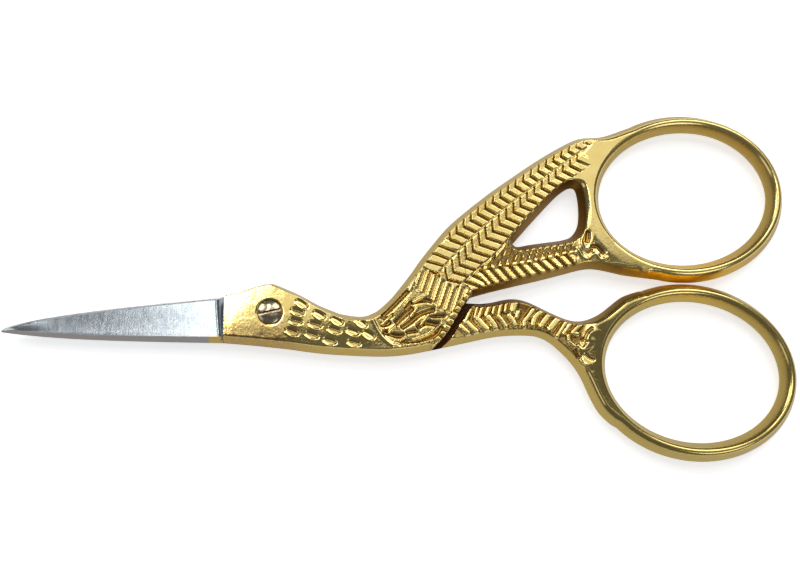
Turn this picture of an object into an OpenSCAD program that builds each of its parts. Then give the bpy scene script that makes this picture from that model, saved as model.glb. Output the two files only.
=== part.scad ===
// Stork embroidery scissors, lying flat with the blades closed.
// Two drop forged halves turn on one slotted screw through the stork's head. Every wall leans in from
// the parting plane, which lies halfway up, because a forging has to leave its dies.
// The front half carries the blade whose spine is below, the breast, the wing and the upper ring.
// The rear half carries the other blade, the layer behind the breast, the lower leg and the lower ring.
// Outlines are written in millimetres from the pivot, with +X towards the finger rings and +Z out of
// the front face. The whole part is then moved so that its origin is the middle of its underside.

/* [Blades] */
// Length of bare steel, from the tip to the edge of the plating
blade_len = 30; // [20:0.5:45]
// Height of a blade where the plating begins
blade_w = 6.5; // [5:0.1:7.5]
// Thickness of a blade at its spine
blade_t = 1.2; // [0.8:0.1:1.4]
// Thickness of a blade just behind its cutting edge
edge_t = 0.45; // [0.2:0.05:0.7]
// Width of the bevel that is ground along the cutting edge
bevel_w = 0.4; // [0.2:0.05:0.8]
// How far the rear blade's spine shows above the front blade
spine_show = 0.2; // [0.1:0.05:0.4]
// Width of a blade at its rounded tip
tip_w = 0.35; // [0.25:0.05:0.8]

/* [Pivot screw] */
// Diameter of the domed screw head
screw_head_d = 3.5; // [3:0.1:4.2]
// Height of the dome above the head's rim
dome_h = 0.5; // [0.3:0.05:0.8]
// Depth of the counterbore that the screw head sits in
seat_depth = 0.35; // [0.2:0.05:0.6]
// Diameter of the plain shoulder that the front half turns on
shoulder_d = 2; // [1.6:0.1:2.4]
// Diameter of the thread that holds in the rear half
thread_d = 1.8; // [1.2:0.1:2]
// Width of the screwdriver slot
slot_w = 0.45; // [0.3:0.05:0.7]
// Depth of the screwdriver slot below the top of the dome
slot_depth = 0.5; // [0.2:0.05:0.6]
// Radial clearance of the front half on the shoulder
turn_gap = 0.05; // [0.02:0.01:0.09]
// Radial clearance of the thread in the rear half
thread_gap = 0.02; // [0.01:0.01:0.05]

/* [Handles] */
// Thickness of the finger rings, which the scissors lie on
handle_t = 3.8; // [3.2:0.1:4.6]
// Lean of the forged walls away from the parting plane, in degrees
draft_angle = 26; // [15:1:30]
// Clearance between the two halves, face to face
layer_gap = 0.1; // [0.06:0.02:0.2]
// Width of the open slit between the breast and the lower leg
slit_w = 1.1; // [0.6:0.1:1.4]
// Clearance between the body and the layer of the rear half below it
step_gap = 0.5; // [0.3:0.05:0.8]

/* [Finger rings] */
// Length of the finger opening
opening_len = 26.8; // [24:0.5:30]
// Height of the finger opening
opening_h = 20.9; // [19:0.5:23]
// Width of the ring's bar at the parting plane
bar_w = 2.7; // [2.2:0.1:3.4]
// Distance from the pivot to the near end of both rings
reach = 46.2; // [45.6:0.1:46.6]
// Depth of the lower ring's centre below the pivot
lower_ring_drop = 7.15; // [6.5:0.05:7.8]
// Gap left between the two rings when the blades are closed
ring_gap = 0.2; // [0.1:0.05:0.5]
// Tilt of the upper ring's long axis, in degrees
upper_tilt = 9.5; // [6:0.5:12]
// Tilt of the lower ring's long axis, in degrees
lower_tilt = -5; // [-8:0.5:-2]

/* [Feathers] */
// How far feathers and scales stand out of the body
relief_h = 0.15; // [0.1:0.01:0.25]
// Length of one feather along its row
feather_pitch = 1.45; // [1.2:0.05:2]
// Half the width of a row of feathers on the wing
wing_row_w = 1.25; // [0.9:0.05:1.5]
// Half the width of a row of feathers on a leg
leg_row_w = 1.3; // [0.9:0.05:1.5]
// Width of one neck scale
scale_w = 1.8; // [1.2:0.1:2.2]

/* [Hidden] */
$fn = 64;

GOLD = "goldenrod";
STEEL = "lightsteelblue";
part_z = handle_t / 2;                  // height of the parting plane
face_z = handle_t - relief_h;           // front face of the body, which the feathers stand on
back_z = relief_h;                      // back face of the body
front_layer_z = part_z + layer_gap / 2; // lowest face of the front half's blade, head and breast
rear_layer_z = part_z - layer_gap / 2;  // highest face of the rear half's blade, head and breast
lean = tan(draft_angle);
plating_x = -6.4;                       // edge of the plating, left of the pivot
blade_top = 2.2;                        // top of the front blade there
tip_y = -3.2;                           // height of the tip
steps = 4;                              // stations per stretch of outline
root = 0.25;                            // how deep feathers are rooted in the body

// Rings: ellipses through the middle of the bar
mid_a = (opening_len + bar_w) / 2;
mid_b = (opening_h + bar_w) / 2;
ring_stations = 72;
function half_len(tilt) =
    norm([(mid_a + bar_w / 2) * cos(tilt), (mid_b + bar_w / 2) * sin(tilt)]);
function half_height(tilt) =
    norm([(mid_a + bar_w / 2) * sin(tilt), (mid_b + bar_w / 2) * cos(tilt)]);
lower_ring = [reach + half_len(lower_tilt), -lower_ring_drop];
upper_ring = [
    reach + half_len(upper_tilt),
    lower_ring[1] + half_height(lower_tilt) + ring_gap + half_height(upper_tilt)
];

// The origin is the middle of the underside
x_min = plating_x - blade_len;
x_max = max(lower_ring[0] + half_len(lower_tilt), upper_ring[0] + half_len(upper_tilt));
y_min = lower_ring[1] - half_height(lower_tilt);
y_max = upper_ring[1] + half_height(upper_tilt);
origin = [(x_min + x_max) / 2, (y_min + y_max) / 2, 0];

// The slit between breast and lower leg runs along this line, from the outline to the crotch
slit_low = [23.3, -4.6];
slit_top = [29.3, 3.2];
slit_run = (slit_top - slit_low) / norm(slit_top - slit_low);
slit_across = [slit_run[1], -slit_run[0]] * slit_w;
leg_low = slit_low + slit_across + slit_run * 0.9;
leg_top = slit_top + slit_across - slit_run * 0.2;
// The body's lower wall, over the layer of the rear half
step_y = 3;

// Outlines are drawn with 16.9 mm from the crotch to the rings, and stretch there with the reach
stretch = (reach - slit_top[0]) / 16.9;
function fit_x(x) = x < slit_top[0] ? x : slit_top[0] + (x - slit_top[0]) * stretch;
function fit(rows) = [
    for (r = rows) [for (i = [0 : len(r) - 1]) i % 2 == 0 ? fit_x(r[i]) : r[i]]
];

// Outlines: each row is one station, [upper x, upper y, lower x, lower y], at the parting plane
HEAD = [
    [plating_x, 2.4, plating_x, blade_top - blade_w],
    [-4.2, 3, -3.8, -4.4], [-2.1, 3.85, -1.6, -4.6], [-0.2, 4.4, 0.4, -4.75],
    [1.8, 3.9, 2.5, -4.95], [4.3, 2.9, 4.5, -5.2], [7.1, 1.4, 6.8, -5.45],
    [10, 0.3, 9.6, -5.65], [12.3, -0.05, 12.4, -5.75], [14.2, 0.2, 15.4, -5.8]
];
BREAST = [
    [15.6, 0.9, 18.4, -5.6], [17.2, 1.8, 21, -5.2], [19.2, 3.3, slit_low[0], slit_low[1]],
    [20.9, 5.4, 24.9, -2.55], [22.6, 7.4, 26.5, -0.45], [24.2, 9, 28, 1.5],
    [25.4, 9.8, slit_top[0], slit_top[1]], [26, 10, 29.9, 4.4]
];
WING = concat(
    fit([
        [16.7, 1.95, 17.4, 2.5], [17.8, 3.2, 20, step_y], [19.4, 5.2, 23, step_y],
        [21.6, 8.4, 26, step_y], [24.2, 11.8, 28.4, 3.6], [27.6, 15.4, 31.6, 7.6],
        [31.4, 18.6, 34.3, 10.9], [35.3, 21.5, 37.8, 14.3], [39.6, 24.6, 41.2, 17.8],
        [44.2, 27.4, 44.3, 20.4], [47.2, 28.6, 46.3, 20.6]
    ]),
    [[upper_ring[0] - 11.6, upper_ring[1] + 8.9, reach + 1.2, upper_ring[1] + 1.8]]
);
LEG = concat(
    fit([
        [25, 7.6, 28.9, 3.25], [29, 9.4, 31, 3.75], [33.6, 10.8, 34.4, 4.65],
        [38.2, 11.4, 38, 5.6], [42, 12.1, 41.4, 6.45], [44.6, 13, 45, 7.6], [46.5, 14.4, 47.4, 7.95]
    ]),
    [
        [reach + 3.4, upper_ring[1] - 7.3, reach + 4.2, upper_ring[1] - 12.1],
        [reach + 8, upper_ring[1] - 10.7, reach + 9.8, upper_ring[1] - 12.5]
    ]
);
LOWER_LEG = concat(
    [[leg_top[0], leg_top[1], leg_low[0], leg_low[1]]],
    fit([
        [32, 2.5, 28.9, -3.5], [33.6, 2.85, 31.9, -2.75], [35.1, 3.1, 34.6, -2.35],
        [36.7, 2.95, 36.8, -2.35], [38.4, 2.35, 38.9, -2.5], [40.4, 1.35, 40.8, -3.4],
        [42.4, 0.6, 42.3, -4.9], [44.4, 0, 43.8, -6.5], [46.4, 0.25, 45.3, -8.9]
    ]),
    [[reach + 2.8, lower_ring[1] + 7.7, reach + 1.1, lower_ring[1] - 4.5]]
);
// The rear half's layer behind the breast: it stays below the body and runs into the lower leg
REAR_BREAST = fit([
    [15.9, 1.1, 18.4, -5.6], [17.6, 2.4 - step_gap, 21, -5.2],
    [20, step_y - step_gap, 23.6, -4.6], [23.6, step_y - step_gap, 25.8, -3.8],
    [27, step_y - 0.2 - step_gap, 28.6, -2.7], [30.6, 1.5, 31.6, -1.9], [33.6, 1.8, 33.4, -1.4]
]);

// A point of a Catmull-Rom curve between p[i] and p[i + 1]
function knot(p, i) = p[min(max(i, 0), len(p) - 1)];
function between(p, i, t) =
    let (a = knot(p, i - 1), b = knot(p, i), c = knot(p, i + 1), d = knot(p, i + 2))
    0.5 * (2 * b + (c - a) * t + (2 * a - 5 * b + 4 * c - d) * t * t
        + (3 * b - a - 3 * c + d) * t * t * t);
function curve(p, n = steps) = concat(
    [for (i = [0 : len(p) - 2]) for (k = [0 : n - 1]) between(p, i, k / n)],
    [p[len(p) - 1]]
);

// One cross-section through a station: from the upper wall over the front face and back below.
// The inset of a face follows the draft and stays within the section's own width.
function section(s, low, high, mid) =
    let (
        up = [s[0], s[1]], down = [s[2], s[3]],
        w = norm(up - down), u = (down - up) / w,
        front = min((high - mid) * lean, w * 0.4),
        back = min((mid - low) * lean, w * 0.4),
        top = [for (e = [front, w - front]) [up[0] + u[0] * e, up[1] + u[1] * e, high]],
        bottom = [for (e = [w - back, back]) [up[0] + u[0] * e, up[1] + u[1] * e, low]]
    )
    low < mid && high > mid
        ? concat([[up[0], up[1], mid]], top, [[down[0], down[1], mid]], bottom)
        : high > mid
            ? concat([[up[0], up[1], low]], top, [[down[0], down[1], low]])
            : concat([[up[0], up[1], high], [down[0], down[1], high]], bottom);

// A solid through a list of cross-sections that have the same number of points.
// A closed one runs back to its first section, and an open one has a flat cap at each end.
module skin_through(sections, closed = false) {
    n = len(sections[0]);
    count = len(sections);
    walls = [
        for (i = [0 : count - (closed ? 1 : 2)]) for (j = [0 : n - 1]) for (half = [0, 1])
            let (
                a = i * n + j, b = i * n + (j + 1) % n,
                c = (i + 1) % count * n + j, d = (i + 1) % count * n + (j + 1) % n
            )
            half == 0 ? [a, c, d] : [a, d, b]
    ];
    caps = closed ? [] : [
        [for (j = [0 : n - 1]) j],
        [for (j = [n - 1 : -1 : 0]) (count - 1) * n + j]
    ];
    polyhedron(points = [for (s = sections) for (p = s) p], faces = concat(walls, caps));
}

module full_ribbon(outline) {
    skin_through([for (s = curve(outline)) section(s, back_z, face_z, part_z)]);
}

module front_ribbon(outline) {
    skin_through([for (s = curve(outline)) section(s, front_layer_z, face_z, part_z)]);
}

module rear_ribbon(outline) {
    skin_through([for (s = curve(outline)) section(s, back_z, rear_layer_z, part_z)]);
}

// A finger ring: its bar has flat lands in front and behind, and walls that lean in from the middle
function bar_section(centre, tilt, turn) =
    let (
        land = max(bar_w / 2 - part_z * lean, 0.3),
        middle = [mid_a * cos(turn), mid_b * sin(turn)],
        out = [mid_b * cos(turn), mid_a * sin(turn)] / norm([mid_b * cos(turn), mid_a * sin(turn)]),
        shape = [
            [-bar_w / 2, part_z], [-land, handle_t], [land, handle_t],
            [bar_w / 2, part_z], [land, 0], [-land, 0]
        ]
    )
    [for (q = shape)
        let (p = middle + out * q[0])
        [
            centre[0] + p[0] * cos(tilt) - p[1] * sin(tilt),
            centre[1] + p[0] * sin(tilt) + p[1] * cos(tilt), q[1]
        ]];

module finger_ring(centre, tilt) {
    skin_through(
        [for (i = [0 : ring_stations - 1]) bar_section(centre, tilt, i * 360 / ring_stations)],
        closed = true
    );
}

// A blade: its spine wall leans like the rest of the forging, and its face is ground down to the edge
function blade_section(u, edge_side) =
    let (
        grow = pow(u, 0.68),
        thin = 0.45 + 0.55 * sqrt(u),
        x = plating_x - blade_len * (1 - u),
        edge_y = tip_y + tip_w / 2 + (blade_top - tip_y - tip_w / 2) * grow,
        spine_y = blade_top - blade_w + (tip_y - tip_w / 2 - blade_top + blade_w) * pow(1 - u, 4),
        w = edge_y - spine_y,
        bevel = min(bevel_w, w * 0.3),
        wall = min(blade_t * thin * lean, w * 0.4)
    )
    edge_side > 0
        ? [
            [x, edge_y, front_layer_z], [x, edge_y - bevel, front_layer_z + edge_t * thin],
            [x, spine_y + wall, front_layer_z + blade_t * thin], [x, spine_y, front_layer_z]
        ]
        : [
            [x, edge_y + spine_show * grow, rear_layer_z], [x, spine_y + spine_show, rear_layer_z],
            [x, spine_y + spine_show + bevel, rear_layer_z - edge_t * thin],
            [x, edge_y + spine_show * grow - wall, rear_layer_z - blade_t * thin]
        ];

module blade(edge_side) {
    skin_through([for (i = [0 : 16]) blade_section(pow(i / 16, 1.5), edge_side)]);
}

// Places children along a row of feathers, turned to run along it
module along(row, inset = 0) {
    path = curve(row, 8);
    travel = [for (i = 0, s = 0; i < len(path);
        s = s + (i + 1 < len(path) ? norm(path[i + 1] - path[i]) : 0), i = i + 1) s];
    total = travel[len(travel) - 1];
    count = floor((total - 2 * inset) / feather_pitch);
    for (k = [0 : count - 1]) {
        s = inset + (k + 0.5) * feather_pitch;
        i = max([for (j = [0 : len(path) - 2]) travel[j] <= s ? j : 0]);
        step = path[i + 1] - path[i];
        p = path[i] + step * (s - travel[i]) / norm(step);
        translate([p[0], p[1], 0]) rotate([0, 0, atan2(step[1], step[0])]) children();
    }
}

// One feather of a herringbone row: two barbs that sweep back from the quill
module feather(w) {
    t = feather_pitch * 0.42;
    polygon([
        [-w * 0.45, w], [-w * 0.45 + t, w], [t, 0],
        [-w * 0.45 + t, -w], [-w * 0.45, -w], [0, 0]
    ]);
}

// Stands flat shapes on the front face, or on the back face
module on_front() {
    translate([0, 0, face_z - root]) linear_extrude(root + relief_h) children();
}

module on_back() {
    linear_extrude(root + relief_h) children();
}

// Neck scales lie in bowed columns from the back of the neck to the throat
SCALES = [
    [4.4, 1.2], [4, -0.1], [3.8, -1.5], [3.5, -2.9], [6.8, -0.2], [6.4, -1.6], [6.1, -3.1],
    [9.4, -1.1], [9, -2.4], [8.6, -3.8], [12.4, -1.5], [11.8, -2.8], [11.5, -4.1]
];
// Rows of feathers: quills of the wing's two rows, of the upper leg and of the lower leg
UPPER_WING_ROW = fit([[22.9, 7.2], [27.8, 12.9], [33.9, 18], [40.2, 22.5], [46.3, 26]]);
LOWER_WING_ROW = fit([[25.6, 6], [30, 10.8], [35.2, 15.2], [40.2, 19.4], [44.9, 23]]);
LEG_ROW = fit([[29.6, 6], [34.2, 7.9], [39.4, 8.9], [44.8, 10.2]]);
LOWER_LEG_ROW = fit([[30.6, -0.9], [34.8, 0.4], [38.2, -0.1], [42, -2]]);
BREAST_FEATHERS = [
    [15.6, -2.8, 40], [17.4, -3.6, 32], [19.2, -2, 45], [20.6, -3.4, 38], [21.6, -0.6, 52],
    [23.2, -1.9, 46], [19.8, 0.8, 58], [22, 2.2, 62], [24.4, 1, 55], [22.8, 4.8, 66], [25.2, 3.8, 60]
];

module neck_scales() {
    for (p = SCALES)
        translate(p) rotate([0, 0, -65]) intersection() {
            circle(d = scale_w, $fn = 24);
            translate([0, -scale_w * 0.35]) circle(d = scale_w, $fn = 24);
        }
}

module breast_feathers() {
    for (f = BREAST_FEATHERS)
        translate([f[0], f[1]]) rotate([0, 0, f[2]])
            polygon([[-1.3, 0], [-0.5, 0.42], [0.8, 0.3], [1.4, 0], [0.8, -0.3], [-0.5, -0.42]]);
}

// The round shapes where a leg's feathers end in front of its ring
knob_r = 2.2;
UPPER_KNOB = [reach - 0.6, 10.4];
LOWER_KNOB = [reach - 1.6, -3.2];

module knob(p) {
    translate([p[0], p[1], back_z]) cylinder(r = knob_r, h = handle_t - 2 * back_z, $fn = 32);
}

module bird_at_origin() {
    translate(-origin) children();
}

module front_blade() {
    color(STEEL) bird_at_origin() blade(1);
}

module rear_blade() {
    color(STEEL) bird_at_origin() blade(-1);
}

module front_handle() {
    color(GOLD) bird_at_origin() {
        difference() {
            front_ribbon(concat(HEAD, BREAST));
            cylinder(d = shoulder_d + 2 * turn_gap, h = handle_t + 1);
            translate([0, 0, face_z - seat_depth])
                cylinder(d = screw_head_d + 2 * turn_gap, h = seat_depth + 1);
        }
        full_ribbon(WING);
        full_ribbon(LEG);
        finger_ring(upper_ring, upper_tilt);
        knob(UPPER_KNOB);
        on_front() {
            neck_scales();
            breast_feathers();
            along(UPPER_WING_ROW) feather(wing_row_w);
            along(LOWER_WING_ROW) feather(wing_row_w);
            along(LEG_ROW) feather(leg_row_w);
        }
        on_back() {
            along(UPPER_WING_ROW) feather(wing_row_w);
            along(LOWER_WING_ROW) feather(wing_row_w);
            along(LEG_ROW) feather(leg_row_w);
        }
    }
}

module rear_handle() {
    color(GOLD) bird_at_origin() {
        difference() {
            rear_ribbon(concat(HEAD, REAR_BREAST));
            translate([0, 0, -1]) cylinder(d = thread_d + 2 * thread_gap, h = handle_t);
        }
        full_ribbon(LOWER_LEG);
        finger_ring(lower_ring, lower_tilt);
        knob(LOWER_KNOB);
        on_front() along(LOWER_LEG_ROW) feather(leg_row_w);
        on_back() {
            neck_scales();
            along(LOWER_LEG_ROW) feather(leg_row_w);
        }
    }
}

module pivot_screw() {
    head_low = face_z - seat_depth + turn_gap;
    dome_top = face_z + dome_h;
    rim = screw_head_d / 2;
    ball = (rim * rim + dome_h * dome_h) / (2 * dome_h);
    color("darkkhaki") bird_at_origin() difference() {
        union() {
            cylinder(d = thread_d, h = part_z);
            translate([0, 0, part_z]) cylinder(d = shoulder_d, h = head_low - part_z);
            intersection() {
                translate([0, 0, head_low]) cylinder(d = screw_head_d, h = dome_top - head_low);
                translate([0, 0, dome_top - ball]) sphere(r = ball);
            }
        }
        rotate([0, 0, 14]) translate([-screw_head_d, -slot_w / 2, dome_top - slot_depth])
            cube([2 * screw_head_d, slot_w, slot_depth + 1]);
    }
}

front_blade();
front_handle();
rear_blade();
rear_handle();
pivot_screw();
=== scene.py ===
"""Stork embroidery scissors: forged gold-plated halves, bare steel blades and a slotted screw.

Shapes are worked out in millimetres from the pivot, with +X towards the finger rings and +Z out of
the front face, as in the part's source, and are moved into the row frame when a mesh is made.
"""

import math

import bpy
import numpy as np
from mathutils import Matrix, Vector, kdtree
from mathutils.geometry import delaunay_2d_cdt


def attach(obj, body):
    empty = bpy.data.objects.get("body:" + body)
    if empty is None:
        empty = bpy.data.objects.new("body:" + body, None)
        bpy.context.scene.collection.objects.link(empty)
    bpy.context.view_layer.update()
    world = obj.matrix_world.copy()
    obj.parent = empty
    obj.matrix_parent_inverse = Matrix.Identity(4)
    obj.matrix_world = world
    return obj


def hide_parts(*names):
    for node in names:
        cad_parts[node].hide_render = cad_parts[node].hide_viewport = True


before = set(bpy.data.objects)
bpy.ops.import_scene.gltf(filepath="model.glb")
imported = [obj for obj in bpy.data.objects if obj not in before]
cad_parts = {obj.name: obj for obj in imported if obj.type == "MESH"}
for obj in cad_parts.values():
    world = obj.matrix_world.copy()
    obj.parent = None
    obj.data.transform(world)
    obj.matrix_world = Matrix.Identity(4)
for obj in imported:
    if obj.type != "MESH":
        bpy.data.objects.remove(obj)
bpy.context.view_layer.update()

# Sizes in millimetres, as in the part's source
ORIGIN = (20.9796, 6.18907)  # the row frame's origin, seen from the pivot
MID = 1.9          # parting plane
FACE = 1.75        # from the parting plane up to the body's face
LAND = 1.9         # from the parting plane up to the ring's land
LAYER = 0.05       # half the clearance between the two halves
FLASH = 0.03       # half the height of the rim left at the parting plane
DRAFT = 1 / math.tan(math.radians(26))  # rise of a forged wall per millimetre
STEEP = 9.0        # rise of the walls that were cut after forging
HEAD_RISE = 3.2    # rise of the wall where the neck meets the head
WINDOW_RISE = 1.8  # rise of the window's wall
SQUARE = 1000.0    # rise that marks an edge without a wall of its own
UPPER_RING = (62.2268, 19.464, 9.5)  # centre, and turn of the long axis in degrees
LOWER_RING = (62.2796, -7.15, -5.0)
BAR = 2.7          # width of a ring's bar
RING_A = 14.75     # half a ring's length, to the middle of its bar
RING_B = 11.8      # half its height, likewise
PLATING_X = -6.4   # edge of the plating
BLADE_LEN = 30     # bare steel, from the tip to the plating
BLADE_T = 1.2      # thickness of a blade at its spine
EDGE_T = 0.45      # its thickness behind the bevel
BLADE_TOP = 2.2    # height of the front blade's edge at the plating
SPINE_Y = -4.3     # height of its spine there
TIP_Y = -3.2
TIP_W = 0.35
SPINE_SHOW = 0.2   # how far the rear blade shows past the front one
HEAD_R = 1.75      # radius of the screw's head
SHOULDER_R = 1.0
THREAD_R = 0.9
TURN_GAP = 0.05    # clearance round the shoulder and under the head
THREAD_GAP = 0.02
SEAT_DEPTH = 0.35  # depth of the head's counterbore
SEAT_R = 1.79      # radius to the middle of the counterbore's wall
DOME_H = 0.5
SLOT_DEPTH = 0.5
FEATHER = 1.45     # length of one feather along its row


# Curves
def spline(points, step=0.1):
    """A smooth curve through points, at an even spacing."""
    p = np.asarray(points, float)
    n = len(p)
    t = np.linspace(0, 1, 20, endpoint=False)[:, None]
    runs = []
    for i in range(n - 1):
        a, b, c, d = (p[min(max(i + k, 0), n - 1)] for k in (-1, 0, 1, 2))
        runs.append(0.5 * (2 * b + (c - a) * t + (2 * a - 5 * b + 4 * c - d) * t**2
                           + (3 * b - a - 3 * c + d) * t**3))
    return even(np.vstack(runs + [p[-1:]]), step)


def travel_of(line):
    return np.r_[0, np.cumsum(np.hypot(*np.diff(line, axis=0).T))]


def even(line, step):
    s = travel_of(line)
    k = np.linspace(0, s[-1], max(2, round(s[-1] / step) + 1))
    return np.c_[np.interp(k, s, line[:, 0]), np.interp(k, s, line[:, 1])]


def soften(line, reach):
    """Evens out a curve's small waves, and keeps its two ends."""
    n = max(1, round(reach / 0.1))
    kernel = np.exp(-0.5 * (np.arange(-3 * n, 3 * n + 1) / n) ** 2)
    kernel /= kernel.sum()
    padded = np.vstack([2 * line[0] - line[3 * n:0:-1], line, 2 * line[-1] - line[-2:-3 * n - 2:-1]])
    return np.c_[np.convolve(padded[:, 0], kernel, "valid"), np.convolve(padded[:, 1], kernel, "valid")]


def turn_of(place):
    """Cosine and sine of a place's turn, where a place is (x, y, turn in degrees)."""
    return math.cos(math.radians(place[2])), math.sin(math.radians(place[2]))


def local(x, y, place):
    """Coordinates along and across a place."""
    c, s = turn_of(place)
    x, y = x - place[0], y - place[1]
    return x * c + y * s, y * c - x * s


def ring_arc(ring, out, start, end):
    """An arc that far outside the middle of a ring's bar, from one turn to another in degrees."""
    a, b = RING_A + out, RING_B + out
    n = round((end - start) / 360 * math.pi * (a + b) / 0.1)
    t = np.radians(np.linspace(start, end, n + 1))
    x, y = a * np.cos(t), b * np.sin(t)
    c, s = turn_of(ring)
    return np.c_[ring[0] + x * c - y * s, ring[1] + x * s + y * c]


def circle(r, step=0.1):
    n = round(2 * math.pi * r / step)
    t = np.arange(n) * 2 * math.pi / n
    return np.c_[r * np.cos(t), r * np.sin(t)]


def circles(*sizes):
    """Points on circles round the pivot, each a (radius, step)."""
    return np.vstack([circle(*size) for size in sizes])


def loop(*runs):
    """A closed outline from runs that meet, each a (points, rise, dark) of its wall, where dark is the
    painted shade on that wall.

    A rise can be a pair that changes along the run; SQUARE marks an edge without a sloping wall.
    """
    points = np.vstack([line[:-1] for line, _, _ in runs])
    rise = np.concatenate([
        np.geomspace(*np.broadcast_to(slope, 2), len(line) - 1) for line, slope, _ in runs])
    dark = np.concatenate([np.full(len(line) - 1, float(shade)) for line, _, shade in runs])
    return points, rise, dark


def hole(points, rise, dark=0.0):
    """A closed inner outline, turned the other way, with one painted shade all round its wall."""
    return points[::-1], np.full(len(points), float(rise)), np.full(len(points), float(dark))


def along(path, x, y):
    """Travel along a path and signed distance to its left, for many points."""
    travel = travel_of(path)
    best = np.full(x.shape, 1e9)
    s_at = np.zeros(x.shape)
    d_at = np.zeros(x.shape)
    for i in range(len(path) - 1):
        (ax, ay), (bx, by) = path[i], path[i + 1]
        run = math.hypot(bx - ax, by - ay)
        ux, uy = (bx - ax) / run, (by - ay) / run
        t = (x - ax) * ux + (y - ay) * uy
        low = -1e9 if i == 0 else 0.0
        high = 1e9 if i == len(path) - 2 else run
        tc = np.clip(t, low, high)
        px, py = x - ax - ux * tc, y - ay - uy * tc
        gap = px * px + py * py
        near = gap < best
        best = np.where(near, gap, best)
        s_at = np.where(near, travel[i] + tc, s_at)
        side = ux * (y - ay) - uy * (x - ax)
        d_at = np.where(near, np.sqrt(gap) * np.where(side < 0, -1, 1), d_at)
    return s_at, d_at


def ramp(v, low, high):
    """Smooth step from 0 at low to 1 at high."""
    t = np.clip((v - low) / (high - low), 0, 1)
    return t * t * (3 - 2 * t)


def smooth_min(a, b, k):
    h = np.clip(0.5 + 0.5 * (b - a) / k, 0, 1)
    return b + (a - b) * h - k * h * (1 - h)


# Outlines at the parting plane
HEAD_LOW = [
    (-6.3, -4.27), (-2.6, -4.5), (0.2, -4.74), (3.0, -4.99), (5.8, -5.34), (8.7, -5.59),
    (11.5, -5.7), (14.4, -5.77), (17.2, -5.72), (20.1, -5.38), (23.3, -4.72),
]
SLIT_LEFT = [
    (23.3, -4.72), (24.6, -3.5), (25.5, -2.4), (26.2, -1.25), (26.8, -0.2), (27.4, 0.85),
    (28.0, 1.75), (28.6, 2.6), (29.0, 3.1),
]
LEG_LOW = [
    (29.0, 3.1), (30.5, 3.58), (33.5, 4.42), (36.5, 5.2), (39.5, 5.98), (42.6, 6.86),
    (45.6, 7.72), (47.2, 7.95), (48.7, 7.8), (50.3, 7.5), (52.2, 7.1),
]
WING_TOP = [
    (52.9, 29.95), (51.2, 29.25), (49.6, 28.72), (48.0, 28.55), (46.5, 28.4), (44.8, 27.75),
    (41.6, 25.88), (38.5, 23.82), (35.3, 21.5), (32.2, 19.2), (29.2, 16.75), (26.1, 14.0),
    (24.6, 12.3), (23.1, 10.4), (21.6, 8.42), (20.2, 6.35), (18.7, 4.35), (17.2, 2.5),
    (15.1, 0.6), (13.6, 0.0), (12.2, -0.05), (10.0, 0.28),
]
NECK_TOP = [(10.0, 0.28), (7.15, 1.38), (4.3, 2.85), (1.85, 3.9), (0.6, 4.36)]
HEAD_TOP = [(0.6, 4.36), (-0.35, 4.38), (-2.15, 3.85), (-4.2, 3.0), (-6.3, 2.42)]
PLATING = [(-6.3, 2.42), (-6.3, -4.27)]
WINDOW = [
    (35.5, 11.4), (38.2, 14.5), (41.4, 18.0), (43.0, 19.5), (44.3, 20.3), (45.2, 20.1),
    (45.6, 18.6), (45.7, 16.3), (45.4, 14.3), (44.4, 12.8), (42.9, 12.2), (41.2, 11.9),
    (38.2, 11.4), (36.2, 11.0),
]
LOWER_LOW = HEAD_LOW + [
    (26.0, -4.1), (28.9, -3.42), (31.9, -2.72), (34.8, -2.36), (37.8, -2.32), (39.3, -2.6),
    (40.8, -3.4), (42.2, -4.6), (43.7, -6.15), (45.1, -8.25), (46.4, -11.2), (47.7, -13.5),
    (49.4, -15.1),
]
LOWER_TOP = [
    (54.6, 4.75), (53.1, 4.3), (51.6, 3.65), (50.1, 2.5), (48.5, 1.25), (46.9, 0.42),
    (45.4, 0.0), (43.9, 0.08), (42.4, 0.55), (40.9, 1.18), (39.4, 1.88), (37.9, 2.55),
    (36.4, 3.0), (34.9, 3.08), (33.4, 2.8), (32.0, 2.45), (30.4, 2.25),
]
REAR_BREAST = [
    (30.4, 2.25), (27.0, 2.35), (23.6, 2.5), (20.0, 2.45), (17.6, 1.8), (15.8, 1.0),
    (13.6, 0.0), (12.2, -0.05), (10.0, 0.28),
]
STEP = [(16.75, 1.75), (17.6, 2.45), (20.0, 3.0), (23.0, 3.0), (26.0, 3.0), (28.7, 3.0)]
SLIT_RIGHT = [
    (30.1, 2.05), (29.3, 2.0), (28.5, 1.25), (27.75, 0.25), (27.05, -0.9), (26.35, -2.05),
    (25.5, -3.3), (24.75, -4.2),
]
STEP_LINE = spline(STEP)
SLIT_LINE = spline(SLIT_RIGHT)
# Runs of the head's outline, each (points, rise of its wall, painted shade on its wall)
HEAD_RUNS = [
    (spline(NECK_TOP), (DRAFT, HEAD_RISE), 0),
    (spline(HEAD_TOP), (HEAD_RISE, STEEP), 0.4),
    (spline(PLATING), SQUARE, 0),
]


def front_outlines():
    outer = loop(
        (soften(spline(HEAD_LOW), 0.6), DRAFT, 0),
        (spline(SLIT_LEFT), STEEP, 1),
        (soften(spline(LEG_LOW), 0.6), DRAFT, 0.7),
        (ring_arc(UPPER_RING, BAR / 2, 245, 473), DRAFT, 0),
        (soften(spline(WING_TOP), 0.5), DRAFT, 0),
        *HEAD_RUNS,
    )
    opening = ring_arc(UPPER_RING, -BAR / 2, 0, 360)[:-1]
    window = spline(WINDOW + WINDOW[:1])[:-1]
    bore = circle(SHOULDER_R + TURN_GAP)
    return [outer, hole(opening, DRAFT), hole(window, WINDOW_RISE, 1), hole(bore, SQUARE)]


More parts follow.
